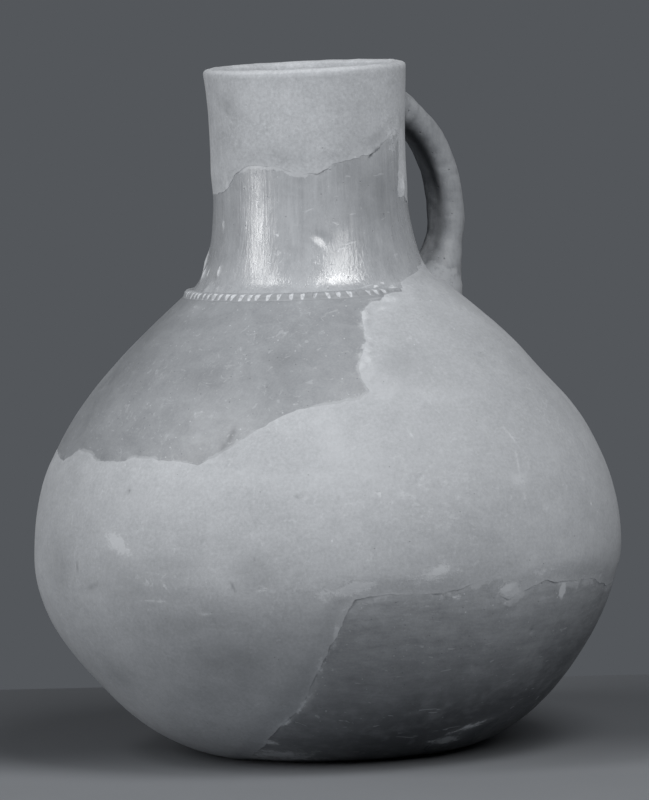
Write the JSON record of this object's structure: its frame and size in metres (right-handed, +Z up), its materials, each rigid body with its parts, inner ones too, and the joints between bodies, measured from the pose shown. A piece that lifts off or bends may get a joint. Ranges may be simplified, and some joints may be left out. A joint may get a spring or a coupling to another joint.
{
  "type": "clay jug",
  "caption": "One-handled round-bellied clay jug with a narrow neck and a notched ring, mended from sherds and plaster.",
  "frame": {"origin": "on the table under the centre of the belly", "axes": "+Z up, the handle on +X"},
  "size_m": [0.242, 0.242, 0.2822],
  "materials": {
    "rim_plaster": "matte plaster, brushed smooth, mottled",
    "neck_clay": "burnished clay with upright polishing strokes",
    "band_clay": "fired clay cord with white paste rubbed into its notches",
    "handle_clay": "worn, mottled fired clay",
    "shoulder_clay": "burnished clay, speckled and scratched",
    "front_plaster": "smooth matte plaster with a few specks",
    "side_plaster": "smooth matte plaster, toned a little darker",
    "lower_clay": "dark burnished clay with level polishing strokes and pits",
    "wedge_plaster": "rough plaster"
  },
  "bodies": {
    "root": {"neck_rim_fill": "rim_plaster", "neck_sherd": "neck_clay", "notched_band": "band_clay", "handle": "handle_clay", "shoulder_sherd_front": "shoulder_clay", "shoulder_sherd_back": "shoulder_clay", "body_fill_front": "front_plaster", "body_fill_right": "side_plaster", "lower_sherd_front": "lower_clay", "lower_sherd_back": "lower_clay", "base_wedge_fill": "wedge_plaster"}
  },
  "joints": []
}
